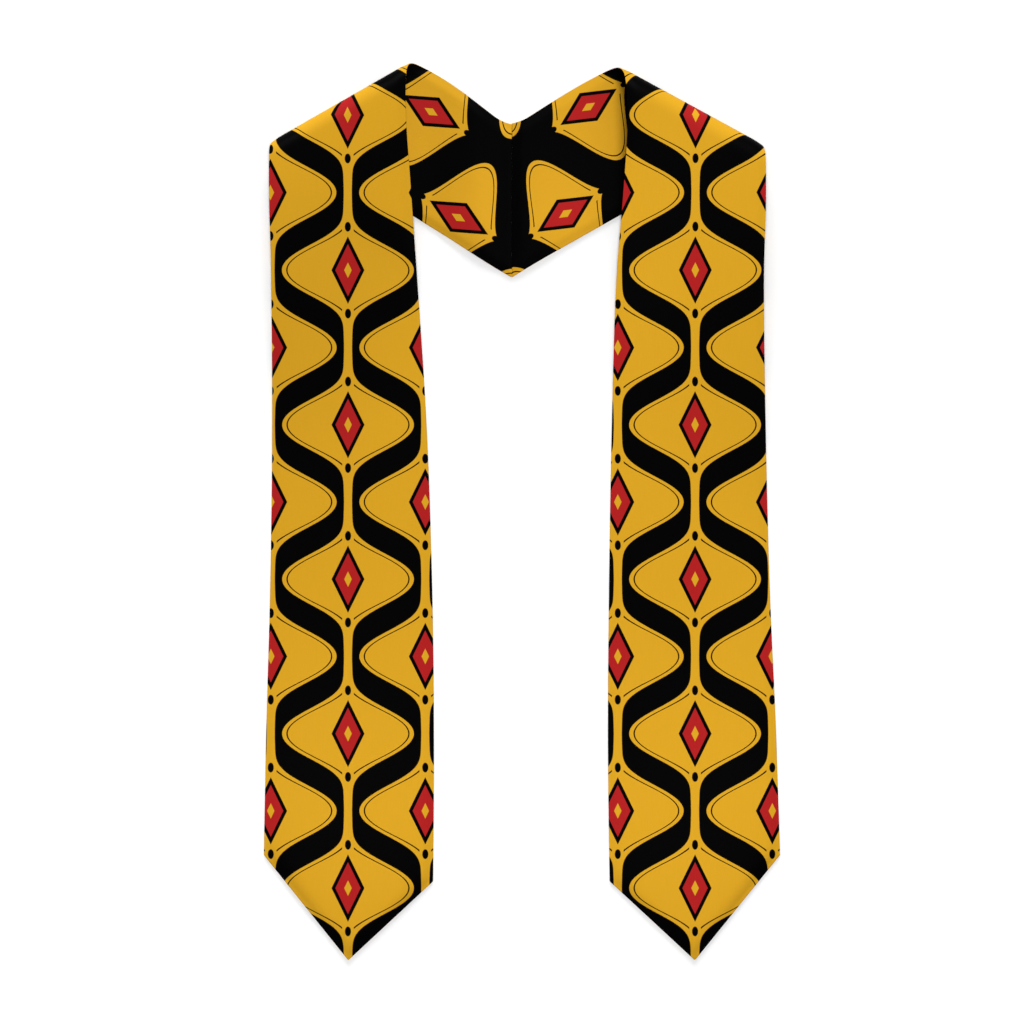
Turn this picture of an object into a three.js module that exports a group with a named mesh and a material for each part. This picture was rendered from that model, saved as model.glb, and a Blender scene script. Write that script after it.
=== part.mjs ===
// A graduation stole laid out flat, in millimetres, +Z up.
//
// The stole is two straight halves, each an outer layer and a lining, joined at a
// slanted seam in the middle of the back. It lies on its back: the two front panels
// run towards -Y and end in points, and each half turns over a soft roll at the
// shoulder, so that at the neck it comes back underneath with its lining upwards.
//
// Each half is cut flat first. In the flat cut "across" runs from the panel's middle
// line towards the neck, and "along" runs from the level of the point up to the back
// seam. The flat cut is then carried over the roll, and each layer gets its wall.

import * as THREE from "three";

// Driving sizes of the cut
const END_WIDTH = 144.5; // across a panel where its point begins
const OUTER_POINT_DEPTH = 90; // from the outer corner down to the point
const INNER_POINT_DEPTH = 67.5; // from the inner corner down to the point
const PANEL_SPACING = 296.3; // between the middle lines of the two panels
const SEAM_SHIFT = -8.3; // the back seam lies this far from midway between them
const NOTCH_FILL = 4; // the neck edge rises this much to round the notch at the seam
const NOTCH_REACH = 15; // and begins to do so this far from the seam

// Driving sizes of the cloth
const LAYER_WALL = 1.0; // each layer, with half of the stiffening inside it
const LAYER_GAP = 0.3; // between the outer layer and the lining
const SEAM_GAP = 0.3; // between the two halves at the back seam
const STACK_GAP = 0.6; // between a front panel and the neck piece under it

// Driving sizes of the lay
const LEFT_DROP = 737; // from the left point's level up to the shoulder's outline, mid panel
const RIGHT_DROP = 728.4; // and the same on the right
const LEFT_ROLL = 12.5; // how far the left shoulder's turn bulges out, to mid cloth
const RIGHT_ROLL = 16; // the right shoulder is left fuller
const LEFT_REACH = 240; // the left panel comes down from the top of its turn over this length
const RIGHT_REACH = 280; // and the right one over this length
const EDGE_MARGIN = 9; // a panel stays level this far past the edge that it covers
const EDGE_EASE = 32; // and then comes down to the floor over this length
const SEAM_FOLD_RISE = 4.2; // height of the soft folds beside the back seam

// slope: of the shoulder against the panel's width, in degrees
const HALVES = {
  left: { mirror: -1, slope: 29.8, drop: LEFT_DROP, roll: LEFT_ROLL, reach: LEFT_REACH },
  right: { mirror: 1, slope: 28.6, drop: RIGHT_DROP, roll: RIGHT_ROLL, reach: RIGHT_REACH },
};

// Sections of the flat cut. along: 0 at the point's level, 1 at the shoulder's
// outline and 2 at the back seam, all on the middle line. The other columns are the
// edges' places across, as shares of END_WIDTH, with the outer edges below zero.
const SECTIONS = [
  { along: 0.0, leftOuter: -0.505, leftInner: 0.5, rightOuter: -0.514, rightInner: 0.5 },
  { along: 0.25, leftOuter: -0.487, leftInner: 0.507, rightOuter: -0.484, rightInner: 0.514 },
  { along: 0.43, leftOuter: -0.462, leftInner: 0.497, rightOuter: -0.445, rightInner: 0.508 },
  { along: 0.62, leftOuter: -0.45, leftInner: 0.464, rightOuter: -0.419, rightInner: 0.492 },
  { along: 0.8, leftOuter: -0.455, leftInner: 0.405, rightOuter: -0.406, rightInner: 0.465 },
  { along: 0.9, leftOuter: -0.467, leftInner: 0.37, rightOuter: -0.418, rightInner: 0.425 },
  { along: 1.0, leftOuter: -0.46, leftInner: 0.34, rightOuter: -0.407, rightInner: 0.398 },
  { along: 1.4, leftOuter: -0.429, leftInner: 0.361, rightOuter: -0.341, rightInner: 0.452 },
  { along: 1.8, leftOuter: -0.434, leftInner: 0.315, rightOuter: -0.304, rightInner: 0.46 },
  { along: 2.25, leftOuter: -0.453, leftInner: 0.287, rightOuter: -0.276, rightInner: 0.462 },
];

// Soft folds that run beside the back seam. fromSeam, near and far are shares of
// END_WIDTH: the crest's distance from the seam, and how far the fold runs out
// towards the seam and away from it. rise is a share of SEAM_FOLD_RISE.
const SEAM_FOLDS = {
  left: [{ fromSeam: 0.22, near: 0.17, far: 0.3, rise: 1.0 }],
  right: [{ fromSeam: 0.065, near: 0.055, far: 0.4, rise: 0.57 }],
};

// Rows and columns of the walls' facets, and steps of the turn's profile
const COLUMNS = 10;
const PANEL_ROWS = 8;
const SHOULDER_ROWS = 12;
const ROLL_ROWS = 10;
const NECK_ROWS = 12;
const PANEL_START = 1.1; // the first level row, as a share of the deeper corner's height
const SHOULDER_START = 1.1; // the rows begin to slant this many reaches below the roll
const SEAM_CROWDING = 1.5; // above 1 the neck's rows stand closer beside the seam
const TANGENT_STEP = 0.05; // for the cloth's direction at a point
const SOLVER_STEPS = 30; // for a place on an edge
const TURN_STEPS = 200;

const PAIR = 2 * LAYER_WALL + LAYER_GAP; // both layers together
const FLOOR_LEVEL = PAIR / 2; // middle of the cloth where it lies on the floor
const STACK_RISE = PAIR + STACK_GAP; // how much the neck piece lifts a panel

const GOLD_SATIN = { color: 0xd69f26, roughness: 0.5, metalness: 0.0 };
const GOLD_LINING = { color: 0xcf9a2c, roughness: 0.55, metalness: 0.0 };

function smoothStep(t) {
  const u = THREE.MathUtils.clamp(t, 0, 1);
  return u * u * (3 - 2 * u);
}

// Side view of a turn made of a unit length of cloth. The cloth swings from level to
// upside down along a smooth step, so that it is roundest at the shoulder's outline.
// out: how far it has come out, and fall: how far it has come down.
const TURN_PROFILE = [{ out: 0, fall: 0 }];
for (let k = 0; k < TURN_STEPS; k += 1) {
  const swing = Math.PI * smoothStep((k + 0.5) / TURN_STEPS);
  const last = TURN_PROFILE[k];
  TURN_PROFILE.push({
    out: last.out + Math.cos(swing) / TURN_STEPS,
    fall: last.fall + Math.sin(swing) / TURN_STEPS,
  });
}
const BULGE = TURN_PROFILE[TURN_STEPS / 2].out; // of a unit length
const HEIGHT = TURN_PROFILE[TURN_STEPS].fall; // of a unit length

// The turn's profile at a share of its length.
function turnAt(share) {
  const step = THREE.MathUtils.clamp(share, 0, 1) * TURN_STEPS;
  const before = Math.min(Math.floor(step), TURN_STEPS - 1);
  const from = TURN_PROFILE[before];
  const to = TURN_PROFILE[before + 1];
  return {
    out: THREE.MathUtils.lerp(from.out, to.out, step - before),
    fall: THREE.MathUtils.lerp(from.fall, to.fall, step - before),
  };
}

// A smooth curve through one column of the sections, level past both ends.
function columnCurve(column) {
  const slopeAt = (k) => {
    if (k === 0 || k === SECTIONS.length - 1) return 0;
    const rise = SECTIONS[k + 1][column] - SECTIONS[k - 1][column];
    return rise / (SECTIONS[k + 1].along - SECTIONS[k - 1].along);
  };
  return (along) => {
    const last = SECTIONS.length - 1;
    if (along <= SECTIONS[0].along) return SECTIONS[0][column];
    if (along >= SECTIONS[last].along) return SECTIONS[last][column];
    let k = 0;
    while (SECTIONS[k + 1].along < along) k += 1;
    const span = SECTIONS[k + 1].along - SECTIONS[k].along;
    const t = (along - SECTIONS[k].along) / span;
    const start = SECTIONS[k][column];
    const end = SECTIONS[k + 1][column];
    const bend = t * (1 - t) * span;
    return (
      THREE.MathUtils.lerp(start, end, smoothStep(t)) +
      bend * ((1 - t) * slopeAt(k) - t * slopeAt(k + 1))
    );
  };
}

// The fixed lines of one half: its shoulder, its seam and its edges.
function layOut(name) {
  const half = HALVES[name];
  const angle = THREE.MathUtils.degToRad(half.slope);
  const sine = Math.sin(angle);
  const cosine = Math.cos(angle);
  const turn = half.roll / BULGE; // length of cloth in the turn
  const rollStart = half.drop - (half.roll + PAIR / 2) / cosine; // on the middle line
  const seamAcross = PANEL_SPACING / 2 - half.mirror * SEAM_SHIFT - SEAM_GAP / 2;

  // how far a point of the flat cut lies past the line where the roll starts
  const pastRollStart = (across, along) => (along - rollStart) * cosine - across * sine;
  const alongAt = (across, past) => rollStart + (past + across * sine) / cosine;
  const seamPast = (across) => ((seamAcross - across) / sine + turn) / 2;

  const seamAlong = alongAt(0, seamPast(0));
  const share = (along) =>
    along < half.drop ? along / half.drop : 1 + (along - half.drop) / (seamAlong - half.drop);
  const outerCurve = columnCurve(`${name}Outer`);
  const innerCurve = columnCurve(`${name}Inner`);
  const edges = {
    outer: (along) => END_WIDTH * outerCurve(share(along)),
    inner: (along) => END_WIDTH * innerCurve(share(along)),
  };

  // the height along an edge where it has gone "past" the start of the roll
  const solveAlong = (edge, past) => {
    let along = rollStart;
    for (let k = 0; k < SOLVER_STEPS; k += 1) {
      const across = edges[edge](along);
      along = alongAt(across, past(across));
    }
    return along;
  };
  const lines = { sine, cosine, turn, seamAcross, pastRollStart, seamPast };
  return { name, ...half, ...lines, edges, solveAlong };
}

// Where a point of the flat cut lies in plan, and how far round the roll it is.
function placeInPlan(lay, across, along) {
  const past = lay.pastRollStart(across, along);
  const foot = { across: across + past * lay.sine, along: along - past * lay.cosine };
  const beyond = (length) => ({
    across: foot.across - lay.sine * length,
    along: foot.along + lay.cosine * length,
  });
  if (past <= 0) return { ...beyond(past), past };
  if (past < lay.turn) return { ...beyond(lay.turn * turnAt(past / lay.turn).out), past };
  return { ...beyond(lay.turn - past), past };
}

// Height of the soft folds beside the back seam, at a distance from it.
function seamFoldHeight(lay, fromSeam) {
  return SEAM_FOLDS[lay.name].reduce((height, fold) => {
    const offset = fromSeam - fold.fromSeam * END_WIDTH;
    const run = (offset < 0 ? fold.near : fold.far) * END_WIDTH;
    return height + fold.rise * SEAM_FOLD_RISE * smoothStep(1 - Math.abs(offset) / run);
  }, 0);
}

// The line of the neck piece's lower edge, which the front panel covers and clears.
function coveredEdge(lay) {
  const rollEnd = lay.solveAlong("outer", () => lay.turn);
  const seamEnd = lay.solveAlong("outer", lay.seamPast);
  const from = placeInPlan(lay, lay.edges.outer(rollEnd), rollEnd);
  const to = placeInPlan(lay, lay.edges.outer(seamEnd), seamEnd);
  const length = Math.hypot(to.across - from.across, to.along - from.along);
  const direction = {
    across: (to.across - from.across) / length,
    along: (to.along - from.along) / length,
  };
  return (across, along) =>
    (across - from.across) * direction.along - (along - from.along) * direction.across;
}

// Middle of the cloth at a point of the flat cut: across, along and height.
function middleOfCloth(lay, across, along) {
  const plan = placeInPlan(lay, across, along);
  const topLevel = FLOOR_LEVEL + HEIGHT * lay.turn;
  let height;
  if (plan.past <= 0) {
    const pastEdge = lay.pastCoveredEdge(plan.across, plan.along);
    const lift = 1 - smoothStep((pastEdge - EDGE_MARGIN) / EDGE_EASE);
    const level = FLOOR_LEVEL + STACK_RISE * lift;
    height = THREE.MathUtils.lerp(level, topLevel, smoothStep(1 + plan.past / lay.reach));
  } else if (plan.past < lay.turn) {
    height = topLevel - lay.turn * turnAt(plan.past / lay.turn).fall;
  } else {
    height = FLOOR_LEVEL + seamFoldHeight(lay, lay.seamAcross - plan.across);
  }
  return new THREE.Vector3(plan.across, plan.along, height);
}

// The middle of the cloth moved out by an offset, towards the printed outer side.
function offsetPoint(lay, point, offset) {
  const at = (across, along) => middleOfCloth(lay, point.across + across, point.along + along);
  const acrossTangent = at(TANGENT_STEP, 0).sub(at(-TANGENT_STEP, 0));
  const alongTangent = at(0, TANGENT_STEP).sub(at(0, -TANGENT_STEP));
  const normal = acrossTangent.cross(alongTangent).normalize();
  return at(0, 0).addScaledVector(normal, offset);
}

// One straight row of points of the flat cut, from the outer edge to the inner edge.
function straightRow(lay, outerAlong, innerAlong, stretch = 0) {
  const outer = { across: lay.edges.outer(outerAlong), along: outerAlong };
  const inner = { across: lay.edges.inner(innerAlong), along: innerAlong };
  const length = Math.hypot(inner.across - outer.across, inner.along - outer.along);
  return Array.from({ length: COLUMNS + 1 }, (_, k) => {
    const t = (k / COLUMNS) * (1 + stretch / length);
    return {
      across: THREE.MathUtils.lerp(outer.across, inner.across, t),
      along: THREE.MathUtils.lerp(outer.along, inner.along, t),
    };
  });
}

// The row along the pointed end: corner, point, corner.
function pointRow(lay) {
  const outer = { across: lay.edges.outer(OUTER_POINT_DEPTH), along: OUTER_POINT_DEPTH };
  const inner = { across: lay.edges.inner(INNER_POINT_DEPTH), along: INNER_POINT_DEPTH };
  return Array.from({ length: COLUMNS + 1 }, (_, k) => {
    const t = (2 * k) / COLUMNS - 1;
    const corner = t < 0 ? outer : inner;
    return { across: corner.across * Math.abs(t), along: corner.along * Math.abs(t) };
  });
}

// All rows of one half's flat cut, from its point to the back seam.
function cutRows(lay) {
  const rollOuter = lay.solveAlong("outer", () => 0);
  const rollInner = lay.solveAlong("inner", () => 0);
  const slantFrom = rollOuter - SHOULDER_START * lay.reach;
  const panelFrom = Math.max(OUTER_POINT_DEPTH, INNER_POINT_DEPTH) * PANEL_START;
  const rows = [pointRow(lay)];

  for (let k = 0; k < PANEL_ROWS; k += 1) {
    const along = THREE.MathUtils.lerp(panelFrom, slantFrom, k / PANEL_ROWS);
    rows.push(straightRow(lay, along, along));
  }
  for (let k = 0; k < SHOULDER_ROWS; k += 1) {
    const t = k / SHOULDER_ROWS;
    const outerAlong = THREE.MathUtils.lerp(slantFrom, rollOuter, t);
    rows.push(straightRow(lay, outerAlong, THREE.MathUtils.lerp(slantFrom, rollInner, t)));
  }
  for (let k = 0; k < ROLL_ROWS; k += 1) {
    const past = () => (lay.turn * k) / ROLL_ROWS;
    rows.push(straightRow(lay, lay.solveAlong("outer", past), lay.solveAlong("inner", past)));
  }
  const neckOuter = lay.solveAlong("outer", () => lay.turn);
  const neckInner = lay.solveAlong("inner", () => lay.turn);
  const seamOuter = lay.solveAlong("outer", lay.seamPast);
  const seamInner = lay.solveAlong("inner", lay.seamPast);
  for (let k = 0; k <= NECK_ROWS; k += 1) {
    const t = 1 - (1 - k / NECK_ROWS) ** SEAM_CROWDING;
    const outerAlong = THREE.MathUtils.lerp(neckOuter, seamOuter, t);
    const innerAlong = THREE.MathUtils.lerp(neckInner, seamInner, t);
    const innerPlan = placeInPlan(lay, lay.edges.inner(innerAlong), innerAlong);
    const fromSeam = Math.max(0, lay.seamAcross - innerPlan.across);
    const stretch = NOTCH_FILL * Math.max(0, 1 - fromSeam / NOTCH_REACH) ** 2;
    rows.push(straightRow(lay, outerAlong, innerAlong, stretch));
  }
  return rows;
}

// A closed wall of cloth between two offsets from the middle of the half.
function clothWall(lay, rows, inside, outside) {
  const columns = COLUMNS + 1;
  const count = rows.length * columns;
  const positions = [];
  for (const offset of [outside, inside]) {
    for (const point of rows.flat()) {
      const place = offsetPoint(lay, point, offset);
      positions.push(lay.mirror * (PANEL_SPACING / 2 - place.x), place.y, place.z);
    }
  }

  const triangles = [];
  const addTriangle = (a, b, c) => {
    if (lay.mirror < 0) triangles.push(a, b, c);
    else triangles.push(a, c, b);
  };
  for (let row = 0; row < rows.length - 1; row += 1) {
    for (let column = 0; column < COLUMNS; column += 1) {
      const near = row * columns + column;
      const far = near + columns;
      addTriangle(near, near + 1, far + 1);
      addTriangle(near, far + 1, far);
      addTriangle(count + near, count + far + 1, count + near + 1);
      addTriangle(count + near, count + far, count + far + 1);
    }
  }

  const rim = [];
  const lastRow = (rows.length - 1) * columns;
  for (let column = 0; column < COLUMNS; column += 1) rim.push(column);
  for (let row = 0; row < rows.length - 1; row += 1) rim.push(row * columns + COLUMNS);
  for (let column = COLUMNS; column > 0; column -= 1) rim.push(lastRow + column);
  for (let row = rows.length - 1; row > 0; row -= 1) rim.push(row * columns);
  rim.forEach((here, k) => {
    const next = rim[(k + 1) % rim.length];
    addTriangle(here, count + here, count + next);
    addTriangle(here, count + next, next);
  });

  const geometry = new THREE.BufferGeometry();
  geometry.setAttribute("position", new THREE.Float32BufferAttribute(positions, 3));
  geometry.setIndex(triangles);
  geometry.computeVertexNormals();
  return geometry;
}

// The outer layer and the lining of one half.
function buildHalf(name) {
  const lay = layOut(name);
  lay.pastCoveredEdge = coveredEdge(lay);
  const rows = cutRows(lay);
  const half = new THREE.Group();

  const outerWall = clothWall(lay, rows, LAYER_GAP / 2, PAIR / 2);
  const outerLayer = new THREE.Mesh(outerWall, new THREE.MeshStandardMaterial(GOLD_SATIN));
  outerLayer.name = `${name}_outer_layer`;
  half.add(outerLayer);

  const liningWall = clothWall(lay, rows, -PAIR / 2, -LAYER_GAP / 2);
  const lining = new THREE.Mesh(liningWall, new THREE.MeshStandardMaterial(GOLD_LINING));
  lining.name = `${name}_lining`;
  half.add(lining);
  return half;
}

const stole = new THREE.Group();
for (const name of Object.keys(HALVES)) stole.add(buildHalf(name));

// The origin is on the floor, at the middle of the stole's length and width.
const extent = new THREE.Box3().setFromObject(stole);
const middle = extent.getCenter(new THREE.Vector3());
stole.position.set(-middle.x, -middle.y, -extent.min.z);

export default stole;
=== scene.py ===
# %% [markdown]
# # A graduation stole, laid out flat
#
# The real stole is two long strips of lined satin that meet at a slanted seam in the
# middle of the back. Here it lies on a table: the front panels point towards the
# picture's lower edge, and at each shoulder the cloth turns over a soft roll, so that
# the neck piece comes back underneath with its lining upwards.
#
# Cloth can be draped by simulation, but this lay is calm and almost flat, and its lines
# have to match the construction model to the millimetre. So every layer is cut flat,
# given its thickness and round edges there, and then folded by one function, the way
# that a tailor would lay out the finished piece.

# %% Load the frame
import math

import bmesh
import bpy
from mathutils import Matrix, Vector, noise


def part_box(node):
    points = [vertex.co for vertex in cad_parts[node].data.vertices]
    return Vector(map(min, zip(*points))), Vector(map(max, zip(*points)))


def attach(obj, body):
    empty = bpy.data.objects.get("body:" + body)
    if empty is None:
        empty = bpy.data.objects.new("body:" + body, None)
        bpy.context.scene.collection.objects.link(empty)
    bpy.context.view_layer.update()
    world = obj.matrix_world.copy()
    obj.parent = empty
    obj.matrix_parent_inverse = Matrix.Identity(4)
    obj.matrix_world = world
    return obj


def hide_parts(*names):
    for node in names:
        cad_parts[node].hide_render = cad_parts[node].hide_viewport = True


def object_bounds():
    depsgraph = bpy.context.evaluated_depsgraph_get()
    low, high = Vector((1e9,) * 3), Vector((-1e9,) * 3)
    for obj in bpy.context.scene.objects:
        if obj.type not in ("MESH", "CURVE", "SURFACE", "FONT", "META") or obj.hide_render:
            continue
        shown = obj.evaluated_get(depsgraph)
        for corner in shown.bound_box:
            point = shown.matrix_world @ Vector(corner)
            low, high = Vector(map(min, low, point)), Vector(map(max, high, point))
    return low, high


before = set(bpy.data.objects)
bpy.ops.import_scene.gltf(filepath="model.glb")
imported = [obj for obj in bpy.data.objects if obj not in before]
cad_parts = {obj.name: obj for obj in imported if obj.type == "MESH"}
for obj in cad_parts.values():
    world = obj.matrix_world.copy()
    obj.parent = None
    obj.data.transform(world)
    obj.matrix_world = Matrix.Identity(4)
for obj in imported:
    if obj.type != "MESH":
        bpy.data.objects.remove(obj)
cad_low, cad_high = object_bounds()
print("construction model, mm:", [round(1000 * side) for side in cad_high - cad_low])

# %% [markdown]
# ## The sizes of the cut and the lay
#
# These are the sizes that the maker and the person who laid the stole out chose. They
# could be measured on the frame, but the cut's curves are easier to read from the sizes
# that they were drawn with. So they repeat the construction model's own, in metres. Only
# the small gaps and the hem by the seam differ: the halves touch there, and the panels
# leave room for waves. In the flat cut, "across" runs from a panel's middle line towards
# the neck, and "along" from the level of its point up to the back seam.

# %% Sizes of the cut
MM = 0.001
END_WIDTH = 144.5 * MM  # across a panel where its point begins
OUTER_POINT_DEPTH = 90 * MM  # from the outer corner down to the point
INNER_POINT_DEPTH = 67.5 * MM  # from the inner corner down to the point
PANEL_SPACING = 296.3 * MM  # between the middle lines of the two panels
SEAM_SHIFT = -8.3 * MM  # the back seam lies this far from midway between them
SEAM_GAP = 0.02 * MM  # the two halves touch at the stitched back seam
NOTCH_FILL = 4 * MM  # the neck edge rises this much to fill and round the notch at the seam
NOTCH_REACH = 15 * MM  # and begins to do so this far from the seam
HEM_DROP = {"left": -1 * MM, "right": 1 * MM}  # the lower edges move so that they meet there

# The edges' places across, as shares of END_WIDTH. along is 0 at the point's level,
# 1 at the shoulder's outline and 2 at the back seam.
SECTIONS = [
    {"along": 0.0, "left": (-0.505, 0.5), "right": (-0.514, 0.5)},
    {"along": 0.25, "left": (-0.487, 0.507), "right": (-0.484, 0.514)},
    {"along": 0.43, "left": (-0.462, 0.497), "right": (-0.445, 0.508)},
    {"along": 0.62, "left": (-0.45, 0.464), "right": (-0.419, 0.492)},
    {"along": 0.8, "left": (-0.455, 0.405), "right": (-0.406, 0.465)},
    {"along": 0.9, "left": (-0.467, 0.37), "right": (-0.418, 0.425)},
    {"along": 1.0, "left": (-0.46, 0.34), "right": (-0.407, 0.398)},
    {"along": 1.4, "left": (-0.429, 0.361), "right": (-0.341, 0.452)},
    {"along": 1.8, "left": (-0.434, 0.315), "right": (-0.304, 0.46)},
    {"along": 2.25, "left": (-0.453, 0.287), "right": (-0.276, 0.462)},
]
print("sections in the cut:", len(SECTIONS))

# %% Sizes of the lay
LAYER_WALL = 1.0 * MM  # each layer, with half of the stiffening inside it
LAYER_GAP = 0.3 * MM  # between the outer layer and the lining
PAIR = 2 * LAYER_WALL + LAYER_GAP  # both layers together
STACK_GAP = 1.2 * MM  # between a panel and the neck piece under it, with room for waves
EDGE_MARGIN = 9 * MM  # a panel stays level this far past the edge that it covers
EDGE_EASE = 32 * MM  # and then comes down to the floor over this length
FLOOR_LEVEL = PAIR / 2  # middle of the cloth where it lies on the floor

# mirror: -1 for the half at the left. drop: from the point's level up to the shoulder's
# outline. slope: of that outline, in degrees. bulge: how far the turn stands out.
# reach: length of the panel's descent from the turn.
HALVES = {
    "left": {"mirror": -1, "drop": 737 * MM, "slope": 29.8, "bulge": 12.5 * MM, "reach": 240 * MM},
    "right": {"mirror": 1, "drop": 728.4 * MM, "slope": 28.6, "bulge": 16 * MM, "reach": 280 * MM},
}

# Soft folds beside the back seam: the crest's distance from the seam, how far the fold
# runs out towards the seam and away from it, and its height.
SEAM_FOLDS = {
    "left": {"crest": 32 * MM, "near": 24.5 * MM, "far": 43 * MM, "rise": 4.2 * MM},
    "right": {"crest": 9.4 * MM, "near": 8 * MM, "far": 58 * MM, "rise": 2.4 * MM},
}
HEM_SHARE = 0.35  # of a seam fold's height that is left at the neck's lower edge
HEM_RUN = 30 * MM  # the fold is at its full height this far inside that edge
print("both layers together, mm:", round(PAIR / MM, 2))

# %% [markdown]
# ## One half, cut and folded
#
# The fold has to keep the cloth's length, or a print on it would stretch. So the turn's
# side view is built from small steps of one length whose direction swings from level to
# upside down. A point of the flat cut is then either on the panel, on the turn or past
# it on the neck, and its place follows from how far past the start of the turn it lies.

# %% Small curves
TURN_STEPS = 200  # in the side view of a turn


def smooth_step(t):
    """From 0 to 1 as t does, with a gentle start and end, and level outside."""
    t = min(max(t, 0.0), 1.0)
    return t * t * (3 - 2 * t)


def mix(a, b, t):
    """From a at 0 to b at 1."""
    return a + (b - a) * t


def column_curve(name, edge):
    """A smooth curve through one edge's places in the sections, level past both ends."""
    knots = [(row["along"], row[name][edge]) for row in SECTIONS]

    def slope_at(k):
        if k in (0, len(knots) - 1):
            return 0.0
        (before, low), (after, high) = knots[k - 1], knots[k + 1]
        return (high - low) / (after - before)

    def curve(along):
        if along <= knots[0][0]:
            return knots[0][1]
        if along >= knots[-1][0]:
            return knots[-1][1]
        k = max(i for i, knot in enumerate(knots) if knot[0] < along)
        span = knots[k + 1][0] - knots[k][0]
        t = (along - knots[k][0]) / span
        bend = t * (1 - t) * span * ((1 - t) * slope_at(k) - t * slope_at(k + 1))
        return mix(knots[k][1], knots[k + 1][1], smooth_step(t)) + bend

    return curve


# how far a unit length of cloth has come out and down at each step of its turn
turn_profile = [(0.0, 0.0)]
for step in range(TURN_STEPS):
    swing = math.pi * smooth_step((step + 0.5) / TURN_STEPS)
    out, fall = turn_profile[-1]
    turn_profile.append((out + math.cos(swing) / TURN_STEPS, fall + math.sin(swing) / TURN_STEPS))
BULGE = turn_profile[TURN_STEPS // 2][0]
HEIGHT = turn_profile[-1][1]
print("a metre of cloth in a turn bulges", round(BULGE, 3), "and stands", round(HEIGHT, 3))

# %% The folded half
TANGENT_STEP = 0.05 * MM  # for the cloth's direction at a point
SOLVER_STEPS = 30  # for a place on an edge

# the frame's seam lies midway between the sides of the two halves that face each other
seam_of_frame = (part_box("left_outer_layer")[1].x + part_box("right_outer_layer")[0].x) / 2
FRAME_SHIFT = Vector((seam_of_frame - SEAM_SHIFT, cad_low.y, 0))


def same_past(length):
    """A line across the cut that is everywhere as far past the turn's start."""
    def past(across):
        return length

    return past


class Half:
    """The flat cut of one half, and where each point of it lies once it is folded."""

    def __init__(self, name):
        sizes = HALVES[name]
        self.name, self.mirror, self.drop = name, sizes["mirror"], sizes["drop"]
        angle = math.radians(sizes["slope"])
        self.sine, self.cosine = math.sin(angle), math.cos(angle)
        self.reach = sizes["reach"]
        self.turn = sizes["bulge"] / BULGE
        self.top_level = FLOOR_LEVEL + HEIGHT * self.turn
        self.turn_start = self.drop - (sizes["bulge"] + PAIR / 2) / self.cosine
        self.seam_across = PANEL_SPACING / 2 - self.mirror * SEAM_SHIFT - SEAM_GAP / 2
        self.seam_along = self.along_at(0, self.past_at_seam(0))
        self.curves = {edge: column_curve(name, k) for k, edge in enumerate(("outer", "inner"))}
        self.covered_from, self.covered_way = self.covered_edge()

    def past(self, across, along):
        """How far a point of the cut lies past the line where the turn starts."""
        return (along - self.turn_start) * self.cosine - across * self.sine

    def along_at(self, across, past):
        """Where a line across the cut lies, if it is this far past the turn's start."""
        return self.turn_start + (past + across * self.sine) / self.cosine

    def past_at_seam(self, across):
        """How far past the turn's start the back seam lies."""
        return ((self.seam_across - across) / self.sine + self.turn) / 2

    def edge(self, which, along):
        """Place across of the outer or the inner edge."""
        share = along / self.drop
        if share > 1:
            share = 1 + (along - self.drop) / (self.seam_along - self.drop)
        return END_WIDTH * self.curves[which](share)

    def solve_along(self, which, past):
        """How far along an edge it has gone a wanted length past the turn's start."""
        along = self.turn_start
        for _ in range(SOLVER_STEPS):
            across = self.edge(which, along)
            along = self.along_at(across, past(across))
        return along

    def plan(self, across, along):
        """Where a point of the cut lies as seen from above, and how far past the start."""
        past = self.past(across, along)
        beyond = past if past <= 0 else self.turn - past
        if 0 < past < self.turn:
            beyond = self.turn * self.turn_at(past)[0]
        travel = beyond - past
        return across - self.sine * travel, along + self.cosine * travel, past

    def turn_at(self, past):
        """How far a unit of cloth has come out and down at a length past the start."""
        step = past / self.turn * TURN_STEPS
        before = min(int(step), TURN_STEPS - 1)
        (out, fall), (out_next, fall_next) = turn_profile[before], turn_profile[before + 1]
        return mix(out, out_next, step - before), mix(fall, fall_next, step - before)

    def covered_edge(self):
        """The neck piece's lower edge, which the front panel covers: a point and a way."""
        ends = []
        for past in (same_past(self.turn), self.past_at_seam):
            along = self.solve_along("outer", past)
            ends.append(Vector(self.plan(self.edge("outer", along), along)[:2]))
        return ends[0], (ends[1] - ends[0]).normalized()

    def seam_middle(self):
        """The flat place halfway along the back seam."""
        ends = []
        for which in ("outer", "inner"):
            along = self.solve_along(which, self.past_at_seam)
            ends.append(Vector((self.edge(which, along), along)))
        return ends[0].lerp(ends[1], 0.5)

    def height(self, across, along):
        """Height of the middle of the cloth."""
        x, y, past = self.plan(across, along)
        if past <= 0:
            from_edge = Vector((x, y)) - self.covered_from
            past_edge = from_edge.x * self.covered_way.y - from_edge.y * self.covered_way.x
            lift = 1 - smooth_step((past_edge - EDGE_MARGIN) / EDGE_EASE)
            level = FLOOR_LEVEL + (PAIR + STACK_GAP) * lift
            return mix(level, self.top_level, smooth_step(1 + past / self.reach))
        if past < self.turn:
            return self.top_level - self.turn * self.turn_at(past)[1]
        fold = SEAM_FOLDS[self.name]
        offset = self.seam_across - x - fold["crest"]
        run = fold["near"] if offset < 0 else fold["far"]
        from_hem = across - self.edge("outer", along)
        rise = fold["rise"] * mix(HEM_SHARE, 1, smooth_step(from_hem / HEM_RUN))
        return FLOOR_LEVEL + rise * smooth_step(1 - abs(offset) / run)


halves = {name: Half(name) for name in HALVES}
for half in halves.values():
    print(half.name, "half: cloth in the turn, mm", round(half.turn / MM, 1))

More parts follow.
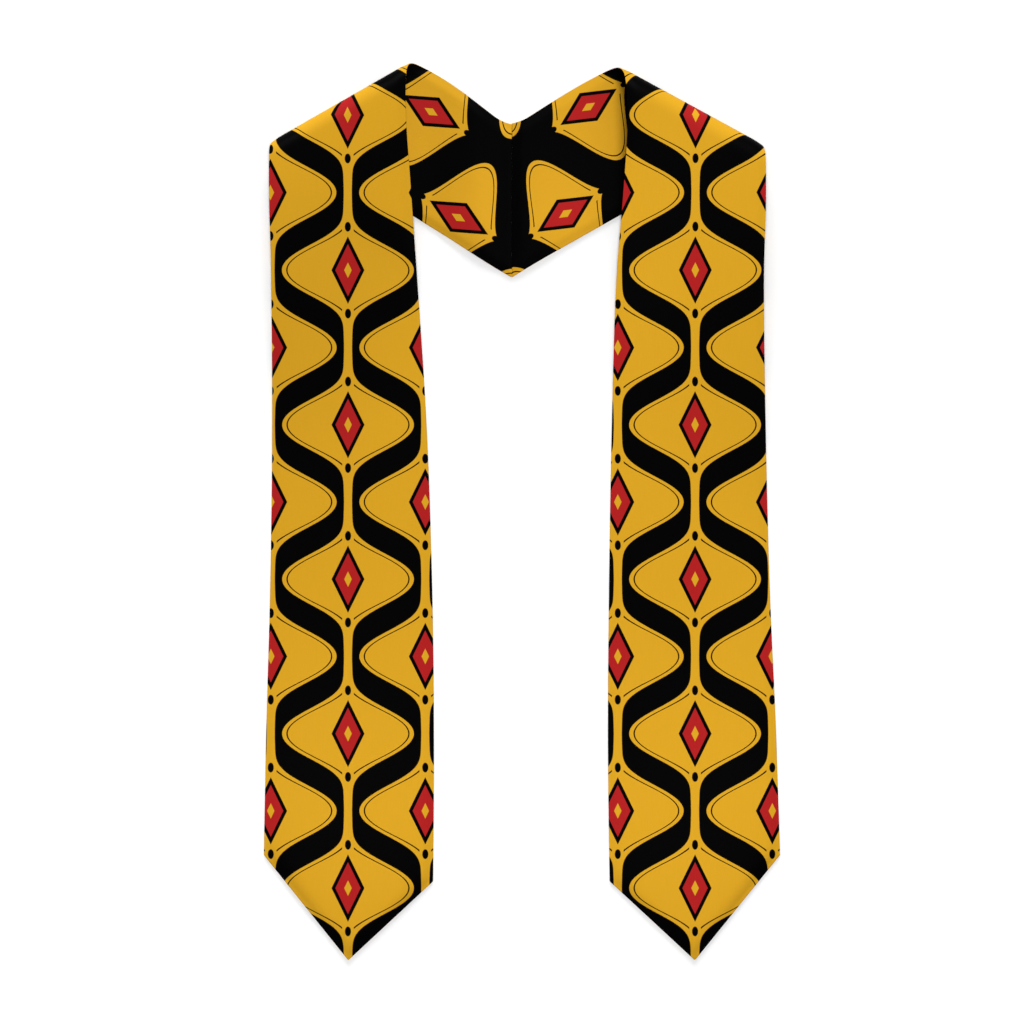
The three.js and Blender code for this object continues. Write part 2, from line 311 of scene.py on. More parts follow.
# %% [markdown]
# ## Soft waves in the lay
#
# Cloth that is put down by hand keeps long, low waves, no more than a millimetre high.
# A displacement modifier could raise them, but both layers have to rise together, so
# the waves are added to the height of mid cloth. They only lift and they fade out at
# the edges, which lie on the table.

# %% Waves
PANEL_WAVES = 0.9 * MM  # the most that they lift a front panel
NECK_WAVES = 0.3 * MM  # and the neck piece
WAVE_SIZE = (60 * MM, 140 * MM)  # across and along the front panels
WAVE_FADE = 30 * MM  # the waves begin at the edges and are full this far inside


def edge_distance(half, across, along):
    """Distance of a point of the cut to the nearer long edge."""
    return min(across - half.edge("outer", along), half.edge("inner", along) - across)


def wave_lift(half, across, along):
    """How far the waves lift a point of the cut."""
    x, y, past = half.plan(across, along)
    spot = Vector((half.mirror * x / WAVE_SIZE[0], y / WAVE_SIZE[1], half.mirror))
    share = 0.5 + 0.5 * noise.noise(spot)
    on_neck = smooth_step(past / half.turn)
    size = mix(PANEL_WAVES, NECK_WAVES, on_neck)
    return size * share * smooth_step(edge_distance(half, across, along) / WAVE_FADE)


PROBE = (0, 300 * MM)  # a point in the middle of a panel
print("wave in the middle of a panel, mm:", round(wave_lift(halves["left"], *PROBE) / MM, 2))

# %% Places of the cloth
def middle_of_cloth(half, across, along):
    """Place of mid cloth for a point of the cut, in the frame."""
    x, y, _ = half.plan(across, along)
    height = half.height(across, along) + wave_lift(half, across, along)
    return Vector((half.mirror * (PANEL_SPACING / 2 - x), y, height)) + FRAME_SHIFT


def offset_point(half, across, along, offset):
    """The same point moved off mid cloth, towards the printed outer side."""
    def beside(x, y):
        return middle_of_cloth(half, across + x, along + y)

    across_way = beside(TANGENT_STEP, 0) - beside(-TANGENT_STEP, 0)
    along_way = beside(0, TANGENT_STEP) - beside(0, -TANGENT_STEP)
    normal = along_way.cross(across_way).normalized() * half.mirror
    return beside(0, 0) + normal * offset


print("mid panel stands at, mm:", round(middle_of_cloth(halves["left"], *PROBE).z / MM, 2))

# %% [markdown]
# ## The loft between the layers
#
# The edges of the real stole are bagged out: the two layers are sewn together inside
# out and turned, so that a seam allowance lies folded inside along every edge. The
# layers meet at the edge itself and stand a little apart inside, most of all behind
# the pointed ends, where two allowances cross. The layer on top shows this as a soft
# slope down to its edges and a faint ridge where the allowance ends.

# %% Loft
SIDE_LOFT = 0.7 * MM  # on the panels
POINT_LOFT = 1.8 * MM  # behind the pointed ends
NECK_LOFT = 0.5 * MM  # on the neck piece
SIDE_RUN = 11 * MM  # the loft is full this far inside a long edge
POINT_RUN = 13 * MM  # and this far inside a pointed edge
POINT_FADE = 80 * MM  # the extra loft behind the point fades out over this length
ALLOWANCE = 10.5 * MM  # width of the seam allowance
ALLOWANCE_EASE = 3 * MM  # over which it shows as a ridge
ALLOWANCE_RISE = 0.15 * MM
PRESSED = 0.4  # the rim is pressed thinner by this share
PRESSED_RUN = 7 * MM  # within this far of an edge
SEAM_PUCKER = 0.25 * MM  # small gathers along the back seam
PUCKER_LENGTH = 14 * MM  # from one gather to the next
PUCKER_RUN = 12 * MM  # they fade out this far from the seam


def point_distance(half, across, along):
    """Distance of a point of the cut to the nearer pointed edge."""
    outer_side = across < 0
    depth = OUTER_POINT_DEPTH if outer_side else INNER_POINT_DEPTH
    corner = Vector((half.edge("outer" if outer_side else "inner", depth), depth))
    way = corner.normalized()
    return abs(across * way.y - along * way.x)


def ridge(distance):
    """The seam allowance's edge, felt through the cloth."""
    return ALLOWANCE_RISE * (1 - smooth_step((distance - ALLOWANCE) / ALLOWANCE_EASE + 0.5))


def loft(half, across, along):
    """How far the upper layer stands off at a point of the cut."""
    x, _, past = half.plan(across, along)
    on_neck = smooth_step(past / half.turn)
    side = edge_distance(half, across, along)
    point = point_distance(half, across, along)
    full = SIDE_LOFT + (POINT_LOFT - SIDE_LOFT) * (1 - smooth_step((point - POINT_RUN) / POINT_FADE))
    rise = mix(full, NECK_LOFT, on_neck) * smooth_step(side / SIDE_RUN)
    rise += ridge(side) * smooth_step(side / ALLOWANCE_EASE)
    from_seam = half.seam_across - x if past > half.turn else END_WIDTH
    gather = 0.5 + 0.5 * math.sin(2 * math.pi * along / PUCKER_LENGTH)
    rise += SEAM_PUCKER * gather * (1 - smooth_step(from_seam / PUCKER_RUN))
    rise *= smooth_step(from_seam / ALLOWANCE_EASE)
    return rise * smooth_step(point / POINT_RUN)


def pressing(half, across, along):
    """How much thinner the cloth is at a point of the cut, as a share."""
    side = edge_distance(half, across, along)
    nearest = min(side, point_distance(half, across, along))
    return PRESSED * (1 - smooth_step(nearest / PRESSED_RUN))


BEHIND_POINT = (0, 20 * MM)
print("loft 20 mm above the point, mm:", round(loft(halves["left"], *BEHIND_POINT) / MM, 2))

# %% [markdown]
# ## The grid of the cut
#
# A half starts as one plain grid. Its columns run the length of the strip and stand
# closer together at the edges, where the loft falls. Its rows begin as the pointed end,
# become level on the panel and turn to the shoulder's slope before the fold, so that
# the cloth folds along a row, as a crease would.

# %% Rows and columns
EDGE_COLUMNS = (0, 2, 5, 8, 10.5, 13)  # mm from each edge
TIP_COLUMNS = (1.2, 3.5, 8)  # mm from the middle line, close enough to keep the point sharp
PLAIN_COLUMNS = 7  # between those two groups, on each side

# The point's rows are shares of the way to the first level row. The others are counts.
POINT_ROWS = (0, 0.03, 0.07, 0.11, 0.15, 0.19, 0.25, 0.32, 0.4, 0.48, 0.56, 0.64, 0.72, 0.8, 0.9)
PANEL_ROWS = 60
SHOULDER_ROWS = 26
TURN_ROWS = 18
NECK_ROWS = 34
PANEL_START = 1.1  # the first level row, as a share of the deeper corner's height
SHOULDER_START = 1.1  # the rows begin to slant this many reaches below the turn
SEAM_CROWDING = 1.5  # above 1 the neck's rows stand closer beside the seam

half_width = END_WIDTH / 2 / MM
tip_shares = [distance / half_width for distance in TIP_COLUMNS]
edge_shares = [1 - distance / half_width for distance in reversed(EDGE_COLUMNS)]
plain_shares = [
    mix(tip_shares[-1], edge_shares[0], k / (PLAIN_COLUMNS + 1)) for k in range(1, PLAIN_COLUMNS + 1)
]
side_shares = tip_shares + plain_shares + edge_shares
COLUMNS = [-share for share in reversed(side_shares)] + [0.0] + side_shares
print("columns:", len(COLUMNS))


def straight_row(half, outer_along, inner_along, stretch=(0.0, 0.0)):
    """A row between two places on the edges, made longer at its outer and inner ends."""
    outer = Vector((half.edge("outer", outer_along), outer_along))
    inner = Vector((half.edge("inner", inner_along), inner_along))
    way = (inner - outer).normalized()
    outer -= way * stretch[0]
    inner += way * stretch[1]
    return [outer.lerp(inner, (share + 1) / 2) for share in COLUMNS]


def point_row(half):
    """The first row, which is the pointed end itself."""
    outer = Vector((half.edge("outer", OUTER_POINT_DEPTH), OUTER_POINT_DEPTH))
    inner = Vector((half.edge("inner", INNER_POINT_DEPTH), INNER_POINT_DEPTH))
    return [(outer if share < 0 else inner) * abs(share) for share in COLUMNS]


def neck_row(half, t):
    """A row of the neck piece, from the turn at 0 to the back seam at 1."""
    ends = []
    for which in ("outer", "inner"):
        start = half.solve_along(which, same_past(half.turn))
        ends.append(mix(start, half.solve_along(which, half.past_at_seam), t))
    inner_x = half.plan(half.edge("inner", ends[1]), ends[1])[0]
    from_seam = max(0.0, half.seam_across - inner_x)
    nearness = max(0.0, 1 - from_seam / NOTCH_REACH) ** 2
    return straight_row(half, *ends, (HEM_DROP[half.name] * nearness, NOTCH_FILL * nearness))


def cut_rows(half):
    """All rows of one half, from its point to the back seam."""
    panel_from = max(OUTER_POINT_DEPTH, INNER_POINT_DEPTH) * PANEL_START
    fold_outer = half.solve_along("outer", same_past(0))
    fold_inner = half.solve_along("inner", same_past(0))
    slant_from = fold_outer - SHOULDER_START * half.reach
    first_level = straight_row(half, panel_from, panel_from)
    rows = [[a.lerp(b, t) for a, b in zip(point_row(half), first_level)] for t in POINT_ROWS]
    for k in range(PANEL_ROWS):
        along = mix(panel_from, slant_from, k / PANEL_ROWS)
        rows.append(straight_row(half, along, along))
    for k in range(SHOULDER_ROWS):
        t = k / SHOULDER_ROWS
        ends = mix(slant_from, fold_outer, t), mix(slant_from, fold_inner, t)
        rows.append(straight_row(half, *ends))
    for k in range(TURN_ROWS):
        past = same_past(half.turn * k / TURN_ROWS)
        ends = half.solve_along("outer", past), half.solve_along("inner", past)
        rows.append(straight_row(half, *ends))
    for k in range(NECK_ROWS + 1):
        rows.append(neck_row(half, 1 - (1 - k / NECK_ROWS) ** SEAM_CROWDING))
    return rows


print("rows:", len(cut_rows(halves["left"])))

# %% A flat wall of cloth
# The rim rounds over on the printed side and is only eased towards the other layer.
PRINTED_RIM = {"size": 0.75 * MM, "segments": 3}
INSIDE_RIM = {"size": 0.1 * MM, "segments": 1}
ON_LEVEL = 0.001 * MM  # a point this close to a level lies on it
UPRIGHT = 0.5  # a face whose normal rises less than this is a side of the wall


def flat_wall(half, low, high):
    """The cut laid out flat, as a closed wall between two levels."""
    rows = cut_rows(half)
    bm = bmesh.new()
    bmesh.ops.create_grid(bm, x_segments=len(COLUMNS) - 1, y_segments=len(rows) - 1, size=1)
    for vert in bm.verts:
        column = round((vert.co.x + 1) / 2 * (len(COLUMNS) - 1))
        row = round((vert.co.y + 1) / 2 * (len(rows) - 1))
        vert.co = (*rows[row][column], low)
    wall = bmesh.ops.extrude_face_region(bm, geom=bm.faces[:])
    upper = [item for item in wall["geom"] if isinstance(item, bmesh.types.BMVert)]
    bmesh.ops.translate(bm, verts=upper, vec=(0, 0, high - low))
    bmesh.ops.recalc_face_normals(bm, faces=bm.faces[:])
    return bm


def round_rim(bm, level, size, segments):
    """Round the rim of a wall where its face at one level ends."""
    rim = [
        edge for edge in bm.edges
        if all(abs(vert.co.z - level) < ON_LEVEL for vert in edge.verts)
        and any(abs(face.normal.z) < UPRIGHT for face in edge.link_faces)
    ]
    bmesh.ops.bevel(
        bm, geom=rim, offset=size, offset_type="OFFSET", segments=segments,
        profile=0.5, affect="EDGES", material=-1, clamp_overlap=False,
    )
    return len(rim)


def flat_size(bm, level):
    """Width, length and area of the cut, measured on its face at one level."""
    faces = [face for face in bm.faces if abs(face.calc_center_median().z - level) < ON_LEVEL]
    xs = [vert.co.x for face in faces for vert in face.verts]
    ys = [vert.co.y for face in faces for vert in face.verts]
    return max(xs) - min(xs), max(ys) - min(ys), sum(face.calc_area() for face in faces)


print("rims rounded over, mm:", [round(rim["size"] / MM, 2) for rim in (PRINTED_RIM, INSIDE_RIM)])

# %% [markdown]
# ## Folding a layer
#
# The flat wall now gets what a tailor gives it: the flat place of each point is kept in
# a UV map for the print, the layer is lifted by its loft, and the whole piece is carried
# over the shoulder's turn. One level of subdivision then smooths it.

# %% Fold a layer and name it
FLAT_MAP = "flat_cut"
LINING_SEAM_PLACE = (33 * MM, 887 * MM)  # of the print, halfway along the back seam
SETTLE_RUN = 8 * MM  # length over which a pressed rim leaves the table or comes back to it


def keep_flat_places(bm, print_shift):
    """Write each point's place in the flat cut, for the print, into a UV map."""
    layer = bm.loops.layers.uv.new(FLAT_MAP)
    for face in bm.faces:
        for loop in face.loops:
            across, along, _ = loop.vert.co
            loop[layer].uv = (across + print_shift.x, along + print_shift.y)


def fold_layer(bm, half, on_top_of_panel):
    """Carry every point of a flat wall to its place in the finished lay."""
    for vert in bm.verts:
        across, along, offset = vert.co
        past = half.past(across, along)
        on_neck = smooth_step(past / half.turn)
        rise = loft(half, across, along)
        offset += rise * (1 - on_neck) if on_top_of_panel else -rise * on_neck
        thinner = pressing(half, across, along)
        vert.co = offset_point(half, across, along, offset * (1 - thinner))
        in_turn = smooth_step(past / SETTLE_RUN) * smooth_step((half.turn - past) / SETTLE_RUN)
        vert.co.z -= thinner * PAIR / 2 * (1 - in_turn)
    if half.mirror > 0:
        bmesh.ops.reverse_faces(bm, faces=bm.faces[:])


def make_layer(name, half, low, high, on_top_of_panel):
    """One layer of one half as a finished object, and its flat size."""
    bm = flat_wall(half, low, high)
    size = flat_size(bm, high)
    printed, inside = (high, low) if on_top_of_panel else (low, high)
    rim = round_rim(bm, printed, **PRINTED_RIM)
    round_rim(bm, inside, **INSIDE_RIM)
    lining_shift = Vector(LINING_SEAM_PLACE) - half.seam_middle()
    keep_flat_places(bm, Vector((0, 0)) if on_top_of_panel else lining_shift)
    fold_layer(bm, half, on_top_of_panel)
    mesh = bpy.data.meshes.new(name)
    bm.to_mesh(mesh)
    bm.free()
    mesh.shade_smooth()
    piece = bpy.data.objects.new(name, mesh)
    bpy.context.scene.collection.objects.link(piece)
    smoother = piece.modifiers.new("smooth_cloth", "SUBSURF")
    smoother.levels = smoother.render_levels = 1
    print(name, "cut, mm:", [round(side / MM) for side in size[:2]], "edges in its rim:", rim)
    return piece, size


half_gap = LAYER_GAP / 2
half_pair = PAIR / 2
layers = {}
for name, half in halves.items():
    layers[name + "_outer_layer"] = make_layer(name + "_satin", half, half_gap, half_pair, True)
    layers[name + "_lining"] = make_layer(name + "_lining_satin", half, -half_pair, -half_gap, False)

# %% [markdown]
# ## Printed polyester satin
#
# The cloth is a woven polyester satin, about 140 g per square metre, dye-sublimation
# printed before it was cut. The dye sits inside the yarn, so yellow, red and black share
# one soft, low sheen. Faint streaks along the warp are painted into the colour: partly
# the yarns' own tone, partly painted sheen and the painted shade of fine wrinkles.
#
# The print itself is a plain ogee lattice with lozenges, an old and common weave
# pattern. It could be an image, but a formula stays sharp at any size, so the print is
# worked out from each point's place in the flat cut, in millimetres.

# %% Node helper and colours
YELLOW = "C4921F"
LINING_YELLOW = "C29020"
BLACK = "020202"
RED = "9E1D1D"


def linear(hex_colour):
    """An sRGB hex colour as linear red, green, blue and alpha."""
    shares = [int(hex_colour[k:k + 2], 16) / 255 for k in (0, 2, 4)]
    return (*(s / 12.92 if s <= 0.04045 else ((s + 0.055) / 1.055) ** 2.4 for s in shares), 1.0)


def add_node(tree, kind, inputs, **settings):
    """Add a node with its settings, and link or fill its inputs."""
    node = tree.nodes.new(kind)
    for setting, value in settings.items():
        setattr(node, setting, value)
    for socket, value in inputs.items():
        if isinstance(value, bpy.types.NodeSocket):
            tree.links.new(value, node.inputs[socket])
        else:
            node.inputs[socket].default_value = value
    return node


print("yellow in linear light:", [round(share, 3) for share in linear(YELLOW)])

# %% Sizes of the print, in millimetres
REPEAT = 132.0  # from one lozenge to the next along the strip
SPACING = 66.0  # between the columns of lozenges
SWAY = 0.8  # swing of the ogee bands, as a share of half the spacing
# Half of a band's width where it is thinnest, and what its swelling adds to that.
SATIN_BANDS = {"thin": 3.2, "swelling": 9.2}
LINING_BANDS = {"thin": 6.9, "swelling": 10.3}
LOZENGE_LEVEL = 62.0  # the first lozenge's middle, above the point
LOZENGE = (10.8, 22.2)  # half width and half height of a red lozenge
RIM = (3.3, 6.6)  # black rim round it
HEART = (3.2, 6.6)  # half width and half height of the small yellow lozenge in it
SEED = (2.6, 4.2)  # half width and half height of a seed
SEED_LEVEL = 37.0  # from a lozenge's middle
HAIRLINE = 4.2  # from a band's edge to the thin line inside it
HAIRLINE_HALF = 0.6  # half of that line's width
HAIRLINE_STOP = 5.0  # the thin line ends this close to a column's middle
INK_EDGE = 0.3  # width over which the dye fades out at an edge


def print_steps(bands):
    """The print as named steps of arithmetic: each has its sum and what goes into it."""
    rim = (LOZENGE[0] + RIM[0], LOZENGE[1] + RIM[1])
    return [
        ("from middle", "SUBTRACT", "along", LOZENGE_LEVEL),
        ("phase", "MULTIPLY", "from middle", 2 * math.pi / REPEAT),
        ("cosine", "COSINE", "phase"),
        ("sine", "SINE", "phase"),
        ("cell", "MULTIPLY_ADD", "cosine", SWAY * SPACING / 2, SPACING / 2),
        ("off middle", "PINGPONG", "across", SPACING),
        ("beyond cell", "SUBTRACT", "off middle", "cell"),
        ("steepness", "MULTIPLY", "sine", math.pi * SWAY * SPACING / REPEAT),
        ("steepness squared", "MULTIPLY_ADD", "steepness", "steepness", 1.0),
        ("slant", "SQRT", "steepness squared"),
        ("gap", "DIVIDE", "beyond cell", "slant"),
        ("gap size", "ABSOLUTE", "gap"),
        ("swell", "MULTIPLY", "sine", "sine"),
        ("half band", "MULTIPLY_ADD", "swell", bands["swelling"], bands["thin"]),
        ("band", "SUBTRACT", "gap size", "half band"),
        ("side", "GREATER_THAN", "beyond cell", 0.0),
        ("column across", "MULTIPLY_ADD", "side", -SPACING, "off middle"),
        ("column off", "ABSOLUTE", "column across"),
        ("level", "PINGPONG", "from middle", REPEAT / 2),
        ("other level", "MULTIPLY_ADD", "level", -2.0, REPEAT / 2),
        ("column level", "MULTIPLY_ADD", "side", "other level", "level"),
        ("lozenge side", "MULTIPLY_ADD", "column level", LOZENGE[0] / LOZENGE[1], "column off"),
        ("lozenge", "SUBTRACT", "lozenge side", LOZENGE[0]),
        ("rim side", "MULTIPLY_ADD", "column level", rim[0] / rim[1], "column off"),
        ("rim", "SUBTRACT", "rim side", rim[0]),
        ("heart side", "MULTIPLY_ADD", "column level", HEART[0] / HEART[1], "column off"),
        ("heart", "SUBTRACT", "heart side", HEART[0]),
        ("from line", "SUBTRACT", "band", HAIRLINE),
        ("line off", "ABSOLUTE", "from line"),
        ("line", "SUBTRACT", "line off", HAIRLINE_HALF),
        ("line stop", "SUBTRACT", HAIRLINE_STOP, "column off"),
        ("hairline", "MAXIMUM", "line", "line stop"),
        ("seed across", "DIVIDE", "column off", SEED[0]),
        ("seed offset", "SUBTRACT", "column level", SEED_LEVEL),
        ("seed along", "DIVIDE", "seed offset", SEED[1]),
        ("seed along squared", "MULTIPLY", "seed along", "seed along"),
        ("seed round", "MULTIPLY_ADD", "seed across", "seed across", "seed along squared"),
        ("seed size", "SQRT", "seed round"),
        ("seed", "MULTIPLY_ADD", "seed size", SEED[0], -SEED[0]),
        ("bands or rims", "MINIMUM", "band", "rim"),
        ("lines or seeds", "MINIMUM", "hairline", "seed"),
        ("black", "MINIMUM", "bands or rims", "lines or seeds"),
    ]


def draw_print(tree, across, along, bands):
    """Add the print's steps to a material. Returns the inks: black, lozenge and heart."""
    made = {"across": across, "along": along}
    for name, operation, *sources in print_steps(bands):
        inputs = {k: made.get(source, source) for k, source in enumerate(sources)}
        step = add_node(tree, "ShaderNodeMath", inputs, operation=operation, label=name)
        made[name] = step.outputs[0]
    inks = []
    # half of the dye is there at a shape's edge, and all of it or none half an INK_EDGE away
    for shape in ("black", "lozenge", "heart"):
        inputs = {0: made[shape], 1: -1 / INK_EDGE, 2: 0.5}
        ink = add_node(tree, "ShaderNodeMath", inputs, operation="MULTIPLY_ADD", use_clamp=True)
        inks.append(ink.outputs[0])
    return inks


print("steps of arithmetic in the print:", len(print_steps(SATIN_BANDS)))

# %% The satin
# A thread is about 0.1 mm thick, far too fine to show here, so its streaks are drawn
# 1.4 mm wide and its weave 0.6 mm, about the finest that the picture can hold. The
# streaks are painted into the colour: partly yarn tone, partly painted sheen and shade.
STREAK_SIZE = (1.4, 18.0)  # mm across and along the warp
STREAK_TONE_AND_SHEEN_CONTRAST = 0.05  # between the darkest and the lightest streak, as a share
WEAVE_SIZE = 0.6  # mm
WEAVE_DEPTH = 0.03 * MM
WEAVE_STRENGTH = 0.5  # of the bump
YARN_SHAKE = 0.3  # mm, the most that a yarn carries the dye off its place
SHAKE_SIZE = 1.2  # mm

# Plain polyester has a specular level near 0.5. This satin is so matt where it is black
# that almost none of that is left, and a trace of sheen stands for its raised yarns.
SATIN_SHINE = {
    "Roughness": 0.5, "Specular IOR Level": 0.015, "Sheen Weight": 0.004, "Sheen Roughness": 0.5,
}
LINING_SHINE = {**SATIN_SHINE, "Roughness": 0.56}


def fill_sockets(surface, values):
    """Set values that are the same all over on a shader's own sockets."""
    for socket, value in values.items():
        surface.inputs[socket].default_value = value


def printed_satin(name, base, bands, shine):
    """Dye-sublimated polyester satin with a soft low sheen, and streaks along the warp painted into
    its colour: partly yarn tone, partly painted sheen and shade.
    """
    material = bpy.data.materials.new(name)
    material.use_nodes = True
    tree = material.node_tree
    surface = tree.nodes["Principled BSDF"]
    flat = add_node(tree, "ShaderNodeUVMap", {}, uv_map=FLAT_MAP).outputs["UV"]
    flat_in_mm = add_node(tree, "ShaderNodeVectorMath", {0: flat, 3: 1 / MM}, operation="SCALE")
    place = flat_in_mm.outputs[0]

    shake = add_node(tree, "ShaderNodeTexNoise", {"Vector": place, "Scale": 1 / SHAKE_SIZE})
    shaken = add_node(
        tree, "ShaderNodeVectorMath",
        {0: shake.outputs["Color"], 1: (YARN_SHAKE,) * 3, 2: place}, operation="MULTIPLY_ADD",
    )
    sides = add_node(tree, "ShaderNodeSeparateXYZ", {0: shaken.outputs[0]})
    black, lozenge, heart = draw_print(tree, sides.outputs["X"], sides.outputs["Y"], bands)

    # Streaks along the warp painted into the colour: partly the yarns' own tone, partly painted
    # sheen and the painted shade of fine wrinkles.
    streak_scale = (1 / STREAK_SIZE[0], 1 / STREAK_SIZE[1], 1.0)
    stretched = add_node(
        tree, "ShaderNodeVectorMath", {0: place, 1: streak_scale}, operation="MULTIPLY"
    )
    streak_tone_and_sheen_noise = add_node(tree, "ShaderNodeTexNoise", {"Vector": stretched.outputs[0], "Scale": 1.0})
    streak_tone_and_sheen = add_node(
        tree, "ShaderNodeMath",
        {0: streak_tone_and_sheen_noise.outputs[0], 1: STREAK_TONE_AND_SHEEN_CONTRAST, 2: 1 - STREAK_TONE_AND_SHEEN_CONTRAST / 2},
        operation="MULTIPLY_ADD",
    )
    colour = linear(base)
    for ink, dye in ((black, BLACK), (lozenge, RED), (heart, base)):
        mixed = add_node(
            tree, "ShaderNodeMix", {"Factor": ink, "A": colour, "B": linear(dye)}, data_type="RGBA"
        )
        colour = mixed.outputs["Result"]
    # the colour is darkened and lightened by the painted streaks of tone, sheen and shade
    shaded = add_node(
        tree, "ShaderNodeVectorMath", {0: colour, 3: streak_tone_and_sheen.outputs[0]}, operation="SCALE"
    )

    weave = add_node(tree, "ShaderNodeTexNoise", {"Vector": place, "Scale": 1 / WEAVE_SIZE})
    relief = {"Height": weave.outputs[0], "Distance": WEAVE_DEPTH, "Strength": WEAVE_STRENGTH}
    bump = add_node(tree, "ShaderNodeBump", relief)
    tree.links.new(shaded.outputs[0], surface.inputs["Base Color"])
    tree.links.new(bump.outputs[0], surface.inputs["Normal"])
    fill_sockets(surface, shine)
    return material


satin = printed_satin("printed_polyester_satin", YELLOW, SATIN_BANDS, SATIN_SHINE)
lining_satin = printed_satin(
    "printed_polyester_satin_lining", LINING_YELLOW, LINING_BANDS, LINING_SHINE
)
print("nodes in the satin:", len(satin.node_tree.nodes))

# %% [markdown]
# ## Dressing the frame
#
# Each layer takes the place of its plain solid, which is hidden, and gets its satin. The
# outer layers lie on their linings, and on the neck it is the other way round, because
# there the cloth lies on its face.

# %% Put the layers in their places
for name in halves:
    outer, outer_size = layers[name + "_outer_layer"]
    lining, lining_size = layers[name + "_lining"]
    for piece, size, node, slot, material, under in (
        (outer, outer_size, name + "_outer_layer", "printed_satin", satin, lining),
        (lining, lining_size, name + "_lining", "printed_lining", lining_satin, outer),
    ):
        piece.data.materials.append(material)
        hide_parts(node)
        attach(piece, "root")
        print(piece.name, "area of the cut, square metres:", round(size[2], 4))

# %% [markdown]
# ## The table, the light and the camera
#
# The stole is photographed from straight above on a white table, in soft light from
# beyond the shoulders, and only a narrow shadow shows at its edges. In such a picture
# the background is whitened on its own. One set of lights could serve for all, but the
# cloth's shades and the table's shadows would then change together. So the front panels,
# the neck and the table each have lights of their own, by light linking: the panels take
# theirs a little from the left and the neck from the right. Small softboxes fill the
# stole's darker places, and an even surround lights everything.

# %% Table
TABLE_SIZE = 14.0  # metres, far past the picture's edges
TABLE_DROP = 0.2 * MM  # keeps the table's face clear of the cloth's
MATT_PAINT = {"Base Color": linear("F8F8F8"), "Roughness": 0.9, "Specular IOR Level": 0.0}


def white_table():
    """A wide plain table that isn't part of the stole."""
    bm = bmesh.new()
    bmesh.ops.create_grid(bm, x_segments=1, y_segments=1, size=TABLE_SIZE / 2)
    bmesh.ops.translate(bm, verts=bm.verts[:], vec=(0, 0, -TABLE_DROP))
    mesh = bpy.data.meshes.new("table")
    bm.to_mesh(mesh)
    bm.free()
    table = bpy.data.objects.new("table", mesh)
    bpy.context.scene.collection.objects.link(table)
    paint = bpy.data.materials.new("matt_white_paint")
    paint.use_nodes = True
    fill_sockets(paint.node_tree.nodes["Principled BSDF"], MATT_PAINT)
    mesh.materials.append(paint)
    return table


table = white_table()
print("table, m:", TABLE_SIZE)

# %% Light
SURROUND = 0.12  # strength of the even light from all sides

# strength: watts per square metre. tilt: degrees from straight above. turn: degrees
# from +Y towards +X. width: degrees that the light spans, as seen from the table.
PANEL_LIGHTS = {
    "window_for_the_panels": {"strength": 4.3, "tilt": 45, "turn": -8, "width": 30},
}
NECK_LIGHTS = {
    "window_for_the_neck": {"strength": 4.35, "tilt": 45, "turn": 14, "width": 30},
}
TABLE_LIGHTS = {
    "wide_dome": {"strength": 0.47, "tilt": 0, "turn": 0, "width": 150},
    "overhead_softbox": {"strength": 1.93, "tilt": 0, "turn": 0, "width": 15},
    "low_light_beyond_shoulders": {"strength": 3.38, "tilt": 76, "turn": 0, "width": 26},
}

# Softboxes near the stole: watts, metres, and the place on the stole that each faces.
SOFTBOXES = {
    "softbox_at_the_left_shoulder": {
        "power": 0.14, "size": 0.15, "place": (-0.36, 0.5, 0.13), "facing": (-0.14, 0.33, 0.02),
    },
    "softbox_at_the_right": {
        "power": 1.4, "size": 0.4, "place": (0.75, 0.3, 0.5), "facing": (0, 0.1, 0),
    },
    "softbox_over_the_neck": {
        "power": 0.08, "size": 0.1, "place": (0.07, 0.2, 0.2), "facing": (0.02, 0.2, 0),
    },
    "softbox_over_the_left_point": {
        "power": 0.09, "size": 0.1, "place": (-0.156, -0.235, 0.22), "facing": (-0.156, -0.235, 0),
    },
    "softbox_over_the_right_point": {
        "power": 0.09, "size": 0.1, "place": (0.14, -0.245, 0.22), "facing": (0.14, -0.245, 0),
    },
}


def group_of(name, pieces):
    """A collection for light linking, which isn't shown in the scene itself."""
    group = bpy.data.collections.new(name)
    for piece in pieces:
        group.objects.link(piece)
    return group


def surround_light():
    """Plain white light from every side."""
    world = bpy.data.worlds.new("even_surround")
    world.use_nodes = True
    background = world.node_tree.nodes["Background"]
    background.inputs["Color"].default_value = (1, 1, 1, 1)
    background.inputs["Strength"].default_value = SURROUND
    bpy.context.scene.world = world


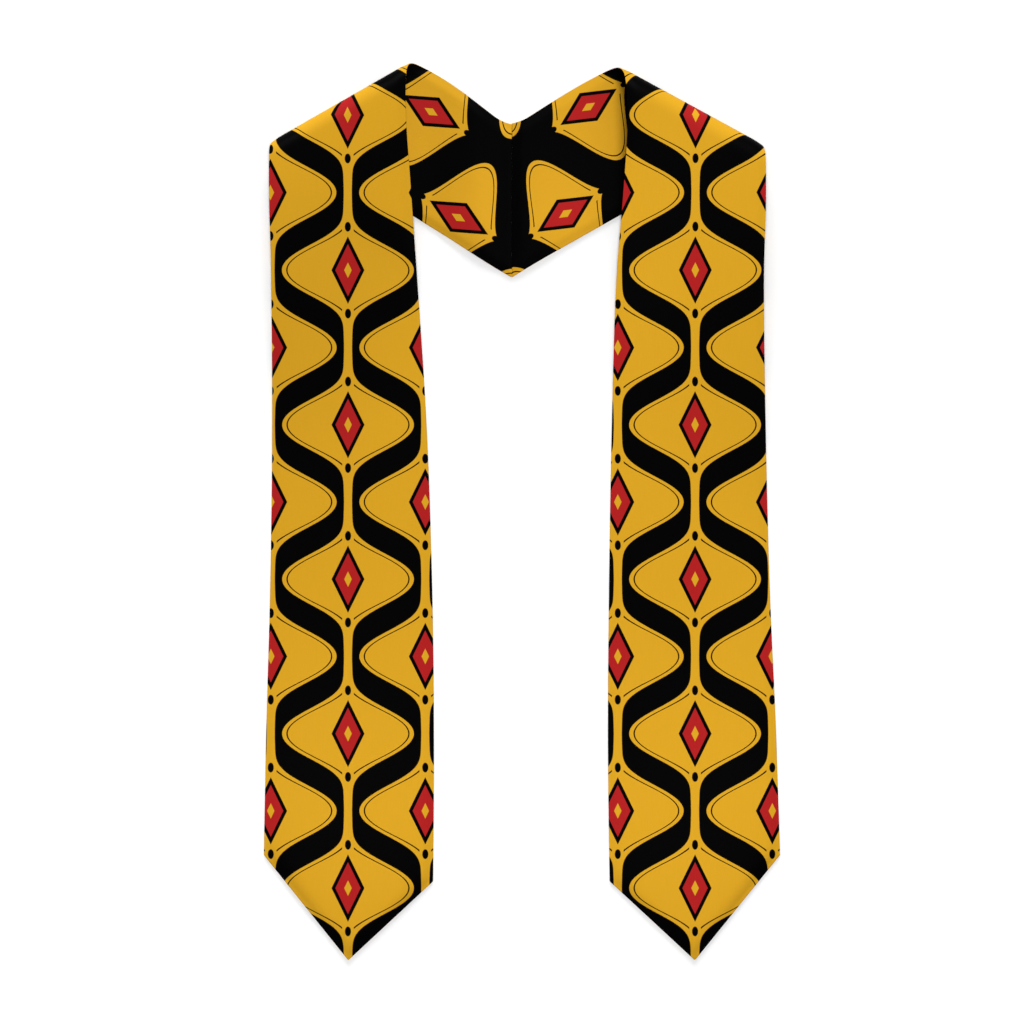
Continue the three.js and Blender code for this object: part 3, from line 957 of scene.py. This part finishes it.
def place_lamp(lamp, lit):
    """Put a lamp in the scene so that it lights only one group."""
    light = bpy.data.objects.new(lamp.name, lamp)
    light.light_linking.receiver_collection = lit
    bpy.context.scene.collection.objects.link(light)
    return light


def distant_light(name, lit, strength, tilt, turn, width):
    """A broad light so far off that it falls alike on the whole group."""
    lamp = bpy.data.lights.new(name, "SUN")
    lamp.energy = strength
    lamp.angle = math.radians(width)
    light = place_lamp(lamp, lit)
    light.rotation_euler = (math.radians(-tilt), 0, math.radians(-turn))


def softbox(name, lit, power, size, place, facing):
    """A square light near the stole."""
    lamp = bpy.data.lights.new(name, "AREA")
    lamp.energy = power
    lamp.size = size
    light = place_lamp(lamp, lit)
    light.location = place
    light.rotation_euler = (Vector(facing) - Vector(place)).to_track_quat("-Z", "Y").to_euler()
    light.visible_camera = False


panel_group = group_of("panels", [layers[name + "_outer_layer"][0] for name in halves])
neck_group = group_of("neck", [layers[name + "_lining"][0] for name in halves])
stole_group = group_of("stole", [piece for piece, size in layers.values()])
table_group = group_of("background", [table])
surround_light()
for group, lights in (
    (panel_group, PANEL_LIGHTS),
    (neck_group, NECK_LIGHTS),
    (table_group, TABLE_LIGHTS),
):
    for name, light in lights.items():
        distant_light(name, group, **light)
for name, light in SOFTBOXES.items():
    softbox(name, stole_group, **light)
print("lights:", len(bpy.data.lights))

# %% Camera
CAMERA_HEIGHT = 8.0  # metres, so far off that the folds look flat on, as in the photo
VIEW_MIDDLE = (-8.5 * MM, -0.4 * MM)  # the camera looks straight down at this place
VIEW_WIDTH = 875.5 * MM  # what the picture spans on the table
SENSOR = 36.0  # mm

lens = bpy.data.cameras.new("camera")
lens.sensor_width = SENSOR
lens.lens = SENSOR * CAMERA_HEIGHT / VIEW_WIDTH
camera = bpy.data.objects.new("camera", lens)
camera.location = (*VIEW_MIDDLE, CAMERA_HEIGHT)
bpy.context.scene.collection.objects.link(camera)
bpy.context.scene.camera = camera
bpy.context.scene.view_settings.view_transform = "Standard"
print("lens, mm:", round(lens.lens))

# %% Finish
bpy.context.view_layer.update()
